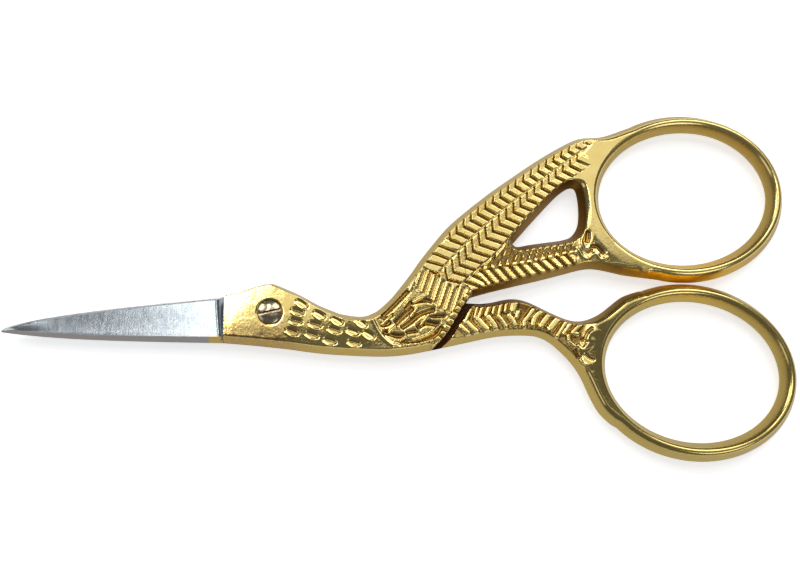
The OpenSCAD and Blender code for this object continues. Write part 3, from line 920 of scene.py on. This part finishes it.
def build_screw():
    rim = circle(HEAD_R, 0.06)
    steps = circles((1.005, 0.02), (0.995, 0.02), (0.905, 0.02), (0.895, 0.02), (0.72, 0.08))
    c, s = turn_of(SLOT)
    t = np.linspace(-1.65, 1.65, 50)
    slot = np.vstack([np.c_[t * c - w * s, t * s + w * c] for w in (-0.24, -0.17, 0.17, 0.24)])
    outlines = [(rim, np.full(len(rim), STEEP), np.zeros(len(rim)))]
    grid = [(0.06,)]
    return plate("slotted_pivot_screw", outlines, screw_dome, screw_under, (grid, grid), (slot, steps))


# Materials
class Nodes:
    """The node tree of a material or world, with short ways to add to it."""

    def __init__(self, owner, output="ShaderNodeOutputMaterial"):
        self.owner = owner
        owner.use_nodes = True
        self.tree = owner.node_tree
        self.tree.nodes.clear()
        self.surface = self.add(output).inputs["Surface"]

    def add(self, kind, **values):
        node = self.tree.nodes.new(kind)
        for key, value in values.items():
            setattr(node, key, value)
        return node

    def link(self, a, b):
        self.tree.links.new(a, b)

    def put(self, value, socket):
        """Gives an input a number, a colour or another node's output."""
        if isinstance(value, bpy.types.NodeSocket):
            self.link(value, socket)
        else:
            socket.default_value = (*value, 1) if isinstance(value, tuple) else value

    def place(self, scale=(1, 1, 1), turn=0.0):
        """Object coordinates in millimetres, turned about Z in degrees and scaled."""
        coordinates = self.add("ShaderNodeTexCoord")
        mapping = self.add("ShaderNodeMapping")
        mapping.inputs["Scale"].default_value = [1000 * s for s in scale]
        mapping.inputs["Rotation"].default_value[2] = math.radians(turn)
        self.link(coordinates.outputs["Object"], mapping.inputs["Vector"])
        return mapping.outputs["Vector"]

    def noise(self, scale, detail=3.0, vector=None, rough=0.55):
        node = self.add("ShaderNodeTexNoise")
        node.inputs["Scale"].default_value = scale
        node.inputs["Detail"].default_value = detail
        node.inputs["Roughness"].default_value = rough
        self.link(vector or self.place(), node.inputs["Vector"])
        return node.outputs["Fac"]

    def attribute(self, name):
        return self.add("ShaderNodeAttribute", attribute_name=name).outputs["Fac"]

    def row_xy(self):
        """X and Y in millimetres in the row frame."""
        parts = self.add("ShaderNodeSeparateXYZ")
        self.link(self.place(), parts.inputs[0])
        return parts.outputs["X"], parts.outputs["Y"]

    def remap(self, value, a, b, low, high):
        """Takes a to low and b to high, and stays between them."""
        node = self.add("ShaderNodeMapRange")
        self.link(value, node.inputs["Value"])
        for key, number in zip(("From Min", "From Max", "To Min", "To Max"), (a, b, low, high)):
            node.inputs[key].default_value = number
        return node.outputs["Result"]

    def math(self, operation, a, b=0.0):
        node = self.add("ShaderNodeMath", operation=operation)
        self.put(a, node.inputs[0])
        self.put(b, node.inputs[1])
        return node.outputs[0]

    def times(self, *shares):
        product = shares[0]
        for share in shares[1:]:
            product = self.math("MULTIPLY", product, share)
        return product

    def mix(self, factor, a, b):
        node = self.add("ShaderNodeMix", data_type="RGBA")
        self.put(factor, node.inputs[0])
        self.put(a, node.inputs[6])
        self.put(b, node.inputs[7])
        return node.outputs[2]

    def tinted(self, base, *tints):
        """Lays colours over a base one after the other, each a (share, colour)."""
        for share, colour in tints:
            base = self.mix(share, base, colour)
        return base

    def bump(self, height, strength, distance, normal=None):
        node = self.add("ShaderNodeBump")
        node.inputs["Strength"].default_value = strength
        node.inputs["Distance"].default_value = distance
        self.link(height, node.inputs["Height"])
        if normal:
            self.link(normal, node.inputs["Normal"])
        return node.outputs["Normal"]

    def metal(self, colour, roughness, normal):
        shader = self.add("ShaderNodeBsdfPrincipled")
        shader.inputs["Metallic"].default_value = 1.0
        self.link(colour, shader.inputs["Base Color"])
        self.link(roughness, shader.inputs["Roughness"])
        self.link(normal, shader.inputs["Normal"])
        self.link(shader.outputs[0], self.surface)
        return self.owner

    def light(self, kind, colour, strength=1.0):
        """An emission or background shader."""
        node = self.add(kind)
        node.inputs["Color"].default_value = (*colour, 1)
        node.inputs["Strength"].default_value = strength
        return node


def gilt():
    m = Nodes(bpy.data.materials.new("gilt_plating"))
    painted_shade = m.attribute("painted_shade")
    wall = m.attribute("wall")
    x, y = m.row_xy()
    broad = m.noise(0.35, 3)
    grain = m.noise(3.2, 4)
    speck = m.noise(9.0, 2)
    carved = m.times(m.remap(x, -8, -3, 0.1, 1), m.remap(x, 23, 27, 1, 0.25))
    # Painted reflection: a warm orange glow on the walls near where the two rings meet.
    from_contact = m.math("ABSOLUTE", m.math("SUBTRACT", x, 40.5))
    between = m.times(m.remap(from_contact, 5, 14, 1, 0), m.remap(y, 6, 2.5, 0, 1))
    between = m.times(between, m.remap(y, -4.5, -2.5, 0, 1), wall)
    # Lower head and neck darker and browner: partly painted shade, partly mottled tone from the grain.
    cheek = m.times(m.remap(x, -19, -14, 1, 0), m.remap(y, -6.2, -9, 0, 1))
    cheek = m.times(cheek, m.remap(grain, 0.38, 0.56, 0.3, 1), 0.75)
    # Painted shade: the lower ring and the leg before it darker.
    lower_ring_shade = m.times(m.remap(x, 22, 27, 0, 1), m.remap(y, 0, -3, 0, 1), 0.6)
    pale = m.mix(m.remap(broad, 0.35, 0.65, 0, 1), (0.88, 0.69, 0.27), (0.82, 0.62, 0.21))
    colour = m.tinted(
        pale,
        (m.times(carved, m.remap(grain, 0.52, 0.74, 0, 0.5)), (0.60, 0.42, 0.14)),
        # Painted shade: walls darker and browner than the faces
        (m.remap(wall, 0.2, 0.9, 0, 0.85), (0.50, 0.345, 0.09)),
        # painted reflection near the rings' contact
        (between, (0.80, 0.49, 0.06)),
        (cheek, (0.42, 0.25, 0.10)),
        (lower_ring_shade, (0.57, 0.44, 0.14)),
        # painted shade in grooves and on covered faces, and the slit's painted shadow near black
        (m.remap(painted_shade, 0.15, 1.0, 0, 0.9), (0.25, 0.12, 0.02)),
        (m.remap(painted_shade, 1.0, 1.9, 0, 0.95), (0.035, 0.012, 0.006)))
    rough = m.remap(m.noise(1.6, 4), 0.3, 0.7, 0.035, 0.075)
    rough = m.math("ADD", rough, m.remap(x, 24, 31, 0, 0.11))
    rough = m.math("ADD", rough, m.remap(painted_shade, 0.2, 1, 0, 0.12))
    rough = m.math("ADD", rough, m.remap(wall, 0.2, 1, 0, 0.2))
    normal = m.bump(broad, 0.3, 0.00006)
    normal = m.bump(m.times(grain, carved), 0.5, 0.00005, normal)
    normal = m.bump(m.times(speck, carved), 0.45, 0.000018, normal)
    return m.metal(colour, rough, normal)


def steel():
    m = Nodes(bpy.data.materials.new("ground_steel"))
    wall = m.attribute("wall")
    x, y = m.row_xy()
    lines = m.noise(1.0, 4, m.place((5, 0.4, 0.4), -3))
    cloud = m.noise(0.5, 5, m.place((1.2, 0.7, 1)), 0.65)
    weave = m.noise(1.3, 3, m.place((1.4, 1.0, 1), 12), 0.6)
    spots = m.noise(5.0, 1)
    # Painted highlight: the faces near the tip much paler.
    tip = m.times(m.remap(x, -53.8, -55.3, 0, 0.7), m.remap(wall, 0.1, 0.5, 1, 0))
    plated = m.times(m.remap(x, -29.5, -29.0, 0, 1), m.remap(y, -8, -8.8, 0, 1), wall)
    ground = m.mix(m.remap(cloud, 0.35, 0.65, 0, 1), (0.49, 0.53, 0.56), (0.37, 0.415, 0.44))
    colour = m.tinted(
        ground,
        (m.remap(lines, 0.35, 0.7, 0, 0.22), (0.31, 0.34, 0.37)),
        (m.remap(weave, 0.5, 0.68, 0, 0.3), (0.34, 0.39, 0.46)),
        (m.remap(weave, 0.52, 0.36, 0, 0.35), (0.61, 0.66, 0.68)),
        # Painted shade: the blade's walls darker and browner
        (m.remap(wall, 0.1, 0.9, 0, 0.9), (0.30, 0.27, 0.255)),
        (tip, (0.86, 0.90, 0.93)),
        (plated, (0.50, 0.36, 0.12)),
        (m.remap(spots, 0.76, 0.8, 0, 0.8), (0.08, 0.07, 0.06)))
    rough = m.remap(lines, 0.3, 0.7, 0.17, 0.25)
    return m.metal(colour, rough, m.bump(lines, 0.15, 0.00003))


def screw_metal():
    m = Nodes(bpy.data.materials.new("screw_metal"))
    grain = m.noise(3.0, 4)
    worn = m.mix(m.remap(grain, 0.4, 0.7, 0, 0.6), (0.64, 0.54, 0.36), (0.30, 0.21, 0.10))
    # Painted shade in the slot and round the rim, near black
    colour = m.mix(m.remap(m.attribute("painted_shade"), 0.1, 0.9, 0, 0.95), worn, (0.05, 0.02, 0.01))
    rough = m.remap(m.noise(2.2, 3), 0.3, 0.7, 0.16, 0.25)
    return m.metal(colour, rough, m.bump(grain, 0.3, 0.00004))


def dress(obj, material, body, nodes):
    obj.data.materials.append(material)
    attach(obj, body)
    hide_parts(*nodes)


# Studio
CAMERA = (0, -28, 151.9)         # where the photo was taken from, from the pivot
AIM = (18.691, 3.882, MID)       # the point in the middle of the photo
LENS = 47.97                     # focal length over a sensor 36 wide
# Level lamps: name, height in metres, x, y, wide, deep, turn in degrees, radiance
SOFTBOXES = [
    ("broad_softbox", 0.6, 0.325, 0.605, 0.96, 0.7, 14, 0.85),
    ("key_softbox", 0.5, -0.128, 0.272, 0.24, 0.24, 41, 5.4),
    ("tall_softbox", 0.5, -0.085, 0.56, 0.07, 0.2, 0, 5.0),
    ("low_softbox", 0.6, 0.5, -0.01, 0.8, 0.12, 9, 0.6),
]
# Lamps round the object: name, azimuth and elevation in degrees, size in metres, radiance
SIDE_LAMPS = [
    ("top_lamp", 97, 50, 0.2, 4.0),
    ("upper_left_lamp", 140, 38, 0.35, 3.0),
    ("left_lamp", 205, 33, 0.35, 0.7),
    ("upper_right_lamp", 55, 38, 0.35, 2.5),
    ("lower_right_lamp", 310, 33, 0.35, 1.5),
]


def row_point(x, y, z):
    """A point in millimetres from the pivot, in metres in the row frame."""
    return Vector(((x - ORIGIN[0]) / 1000, (y - ORIGIN[1]) / 1000, z / 1000))


def build_camera():
    """The photograph's viewpoint: close above the blades' side of the scissors."""
    eye = row_point(*CAMERA)
    forward = (row_point(*AIM) - eye).normalized()
    right = forward.cross(Vector((0, 1, 0))).normalized()
    matrix = Matrix((right, right.cross(forward), -forward)).transposed().to_4x4()
    matrix.translation = eye
    data = bpy.data.cameras.new("camera")
    data.lens = LENS
    data.sensor_width = 36
    data.clip_start = 0.005
    camera = placed("camera", data)
    camera.matrix_world = matrix
    bpy.context.scene.camera = camera


def build_floor():
    """A pale table just under the object, which glows for the camera and less for the metal."""
    half = 3.0
    z = -0.0002
    corners = [(-half, -half, z), (half, -half, z), (half, half, z), (-half, half, z)]
    mesh = bpy.data.meshes.new("floor")
    mesh.from_pydata(corners, [], [(0, 1, 2, 3)])
    m = Nodes(bpy.data.materials.new("pale_table"))
    diffuse = m.add("ShaderNodeBsdfDiffuse")
    diffuse.inputs["Color"].default_value = (0.86, 0.86, 0.86, 1)
    glow = m.light("ShaderNodeEmission", (1, 1, 1))
    path = m.add("ShaderNodeLightPath")
    mirrored = m.times(path.outputs["Is Glossy Ray"], 0.35)
    seen = m.math("MAXIMUM", path.outputs["Is Camera Ray"], mirrored)
    m.link(m.times(seen, 0.64), glow.inputs["Strength"])
    both = m.add("ShaderNodeAddShader")
    m.link(diffuse.outputs[0], both.inputs[0])
    m.link(glow.outputs[0], both.inputs[1])
    m.link(both.outputs[0], m.surface)
    mesh.materials.append(m.owner)
    placed("floor", mesh)


def build_world():
    """White to the camera, and a dim cool light on everything else."""
    world = bpy.data.worlds.new("studio")
    m = Nodes(world, "ShaderNodeOutputWorld")
    path = m.add("ShaderNodeLightPath")
    choice = m.add("ShaderNodeMixShader")
    m.link(path.outputs["Is Camera Ray"], choice.inputs[0])
    m.link(m.light("ShaderNodeBackground", (0.93, 0.96, 1.0), 0.14).outputs[0], choice.inputs[1])
    m.link(m.light("ShaderNodeBackground", (1, 1, 1)).outputs[0], choice.inputs[2])
    m.link(choice.outputs[0], m.surface)
    bpy.context.scene.world = world


def area_lamp(name, wide, deep, radiance):
    data = bpy.data.lights.new(name, "AREA")
    data.shape = "RECTANGLE"
    data.size = wide
    data.size_y = deep
    data.energy = radiance * math.pi * wide * deep
    return placed(name, data)


def softbox(name, height, x, y, wide, deep, turn, radiance):
    """A level lamp over the pivot; x, y and the sizes are shares of its height in metres."""
    lamp = area_lamp(name, wide * height, deep * height, radiance)
    pivot = row_point(0, 0, 0)
    lamp.location = (pivot.x + x * height, pivot.y + y * height, height)
    lamp.rotation_euler = (0, 0, math.radians(turn))


def side_lamp(name, azimuth, elevation, size, radiance):
    """A square lamp at a fixed distance from the object, aimed at it."""
    distance = 0.8
    a, e = math.radians(azimuth), math.radians(elevation)
    toward = Vector((math.cos(a) * math.cos(e), math.sin(a) * math.cos(e), math.sin(e)))
    lamp = area_lamp(name, size, size, radiance)
    lamp.location = distance * toward
    lamp.rotation_euler = (-toward).to_track_quat("-Z", "Y").to_euler()


def build_light():
    build_world()
    for row in SOFTBOXES:
        softbox(*row)
    for row in SIDE_LAMPS:
        side_lamp(*row)


gold = gilt()
front_half, rear_half = build_handles()
dress(front_half, gold, "front_half", ["front_handle"])
dress(rear_half, gold, "rear_half", ["rear_handle"])
blade_steel = steel()
dress(build_blade("ground_front_blade", 1), blade_steel, "front_half", ["front_blade"])
dress(build_blade("ground_rear_blade", -1), blade_steel, "rear_half", ["rear_blade"])
dress(build_screw(), screw_metal(), "rear_half", ["pivot_screw"])
build_floor()
build_light()
build_camera()

scene = bpy.context.scene
scene.view_settings.view_transform = "Standard"
